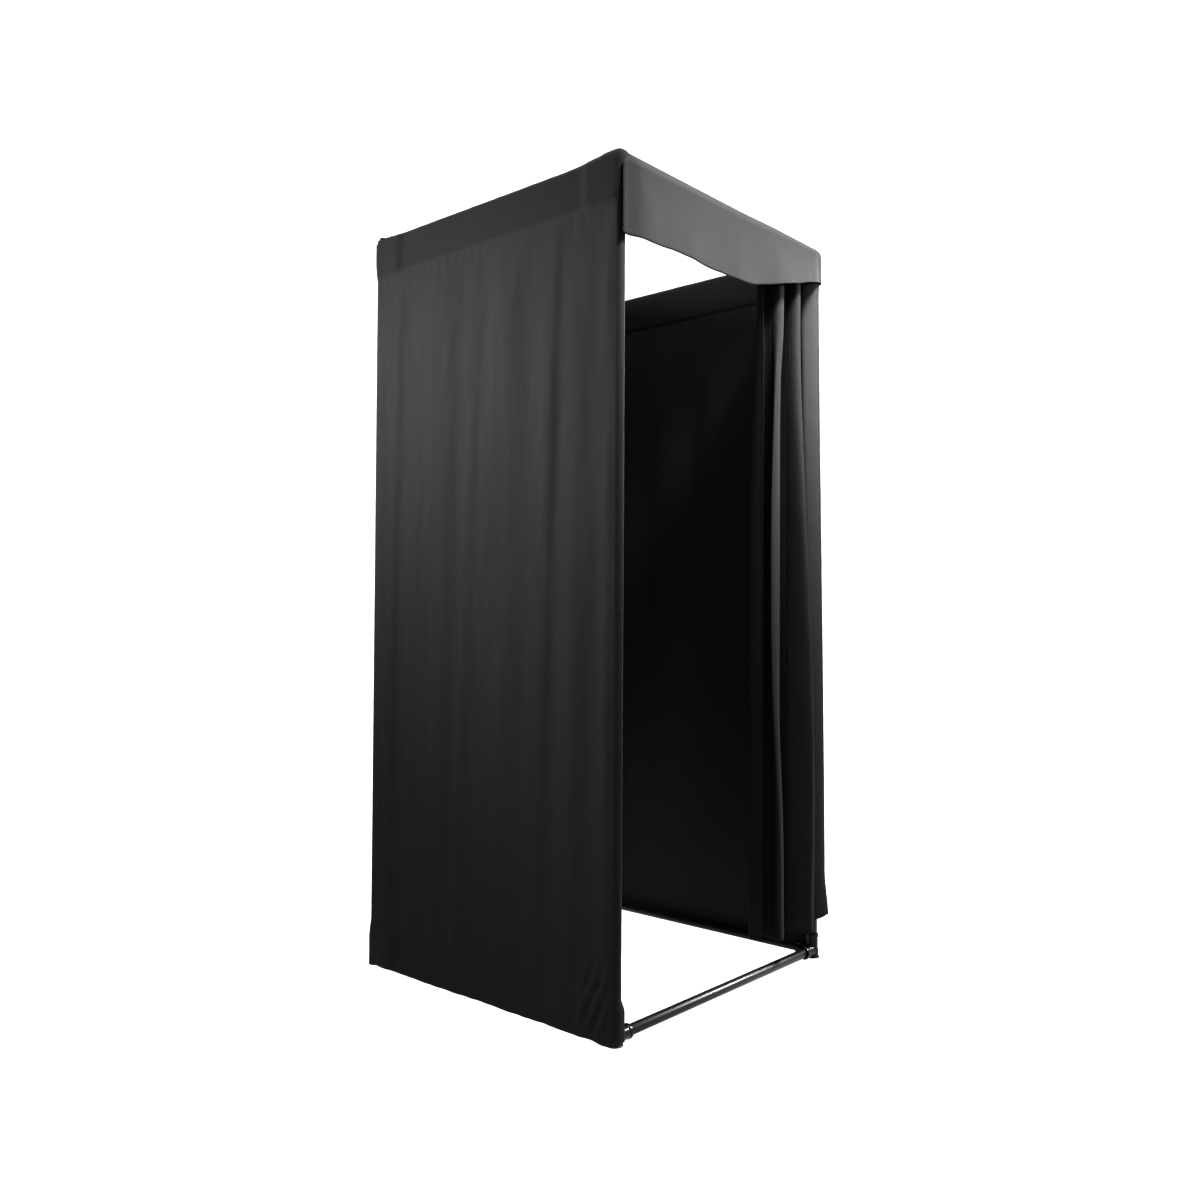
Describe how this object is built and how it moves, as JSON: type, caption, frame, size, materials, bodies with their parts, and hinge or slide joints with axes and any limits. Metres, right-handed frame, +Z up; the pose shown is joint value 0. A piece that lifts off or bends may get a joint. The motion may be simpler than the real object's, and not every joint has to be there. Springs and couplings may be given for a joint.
{
  "type": "portable fitting room",
  "caption": "Free-standing knock-down fitting room of plain black tube with three cloth walls, a front valance and a curtain that slides on rings.",
  "frame": {"origin": "on the floor, at the middle of the four posts", "axes": "+Z up, the doorway faces -Y, +X to the right of someone who looks in through the doorway"},
  "size_m": [0.9173, 0.9462, 2],
  "materials": {
    "tube_paint": "semi-gloss black powder coat",
    "fitting_plastic": "glossy black moulded plastic",
    "foot_rubber": "matte black rubber",
    "bare_steel": "plated steel",
    "ring_chrome": "bright chrome wire and clips",
    "wall_cloth": "matte black woven cloth with a soft sheen",
    "curtain_cloth": "matte black woven cloth with a soft sheen",
    "valance_cloth": "black woven cloth with a soft sheen"
  },
  "bodies": {
    "frame": {"bottom_corner_front_left": "fitting_plastic", "bottom_corner_front_right": "fitting_plastic", "bottom_corner_back_left": "fitting_plastic", "bottom_corner_back_right": "fitting_plastic", "top_corner_front_left": "fitting_plastic", "top_corner_front_right": "fitting_plastic", "top_corner_back_left": "fitting_plastic", "top_corner_back_right": "fitting_plastic", "foot_front_left": "foot_rubber", "foot_front_right": "foot_rubber", "foot_back_left": "foot_rubber", "foot_back_right": "foot_rubber", "post_lower_front_left": "tube_paint", "post_lower_front_right": "tube_paint", "post_lower_back_left": "tube_paint", "post_lower_back_right": "tube_paint", "post_upper_front_left": "tube_paint", "post_upper_front_right": "tube_paint", "post_upper_back_left": "tube_paint", "post_upper_back_right": "tube_paint", "post_ferrule_front_left": "bare_steel", "post_ferrule_front_right": "bare_steel", "post_ferrule_back_left": "bare_steel", "post_ferrule_back_right": "bare_steel", "bottom_rail_front": "tube_paint", "bottom_rail_back": "tube_paint", "bottom_rail_left": "tube_paint", "bottom_rail_right": "tube_paint", "top_rail_front": "tube_paint", "top_rail_back": "tube_paint", "top_rail_left": "tube_paint", "top_rail_right": "tube_paint", "left_wall": "wall_cloth", "right_wall": "wall_cloth", "back_wall": "wall_cloth", "valance": "valance_cloth", "curtain_ring_1": "ring_chrome", "curtain_clip_1": "ring_chrome", "curtain_fixed_edge": "curtain_cloth"},
    "curtain_fold_1": {"curtain_ring_2": "ring_chrome", "curtain_clip_2": "ring_chrome", "curtain_pleat_1": "curtain_cloth"},
    "curtain_fold_2": {"curtain_ring_3": "ring_chrome", "curtain_clip_3": "ring_chrome", "curtain_pleat_2": "curtain_cloth"},
    "curtain_fold_3": {"curtain_ring_4": "ring_chrome", "curtain_clip_4": "ring_chrome", "curtain_pleat_3": "curtain_cloth"},
    "curtain_fold_4": {"curtain_ring_5": "ring_chrome", "curtain_clip_5": "ring_chrome", "curtain_pleat_4": "curtain_cloth"},
    "button_front_left": {"snap_button_front_left": "bare_steel"},
    "button_front_right": {"snap_button_front_right": "bare_steel"},
    "button_back_left": {"snap_button_back_left": "bare_steel"},
    "button_back_right": {"snap_button_back_right": "bare_steel"}
  },
  "joints": [
    {"name": "curtain_slide_1", "type": "slide", "parent": "frame", "child": "curtain_fold_1", "axis": [-1, 0, 0], "range_m": [0, 0.133]},
    {"name": "curtain_slide_2", "type": "slide", "parent": "curtain_fold_1", "child": "curtain_fold_2", "axis": [-1, 0, 0], "range_m": [0, 0.133]},
    {"name": "curtain_slide_3", "type": "slide", "parent": "curtain_fold_2", "child": "curtain_fold_3", "axis": [-1, 0, 0], "range_m": [0, 0.133]},
    {"name": "curtain_slide_4", "type": "slide", "parent": "curtain_fold_3", "child": "curtain_fold_4", "axis": [-1, 0, 0], "range_m": [0, 0.133]},
    {"name": "button_press_front_left", "type": "slide", "parent": "frame", "child": "button_front_left", "axis": [0, -1, 0], "range_m": [0, 0.003], "stiffness_N_per_m": 1500, "springref_m": -0.002},
    {"name": "button_press_front_right", "type": "slide", "parent": "frame", "child": "button_front_right", "axis": [0, -1, 0], "range_m": [0, 0.003], "stiffness_N_per_m": 1500, "springref_m": -0.002},
    {"name": "button_press_back_left", "type": "slide", "parent": "frame", "child": "button_back_left", "axis": [0, 1, 0], "range_m": [0, 0.003], "stiffness_N_per_m": 1500, "springref_m": -0.002},
    {"name": "button_press_back_right", "type": "slide", "parent": "frame", "child": "button_back_right", "axis": [0, 1, 0], "range_m": [0, 0.003], "stiffness_N_per_m": 1500, "springref_m": -0.002}
  ],
  "couplings": [
    {"joint": "curtain_slide_2", "follows": "curtain_slide_1", "ratio": 1},
    {"joint": "curtain_slide_3", "follows": "curtain_slide_1", "ratio": 1},
    {"joint": "curtain_slide_4", "follows": "curtain_slide_1", "ratio": 1}
  ]
}
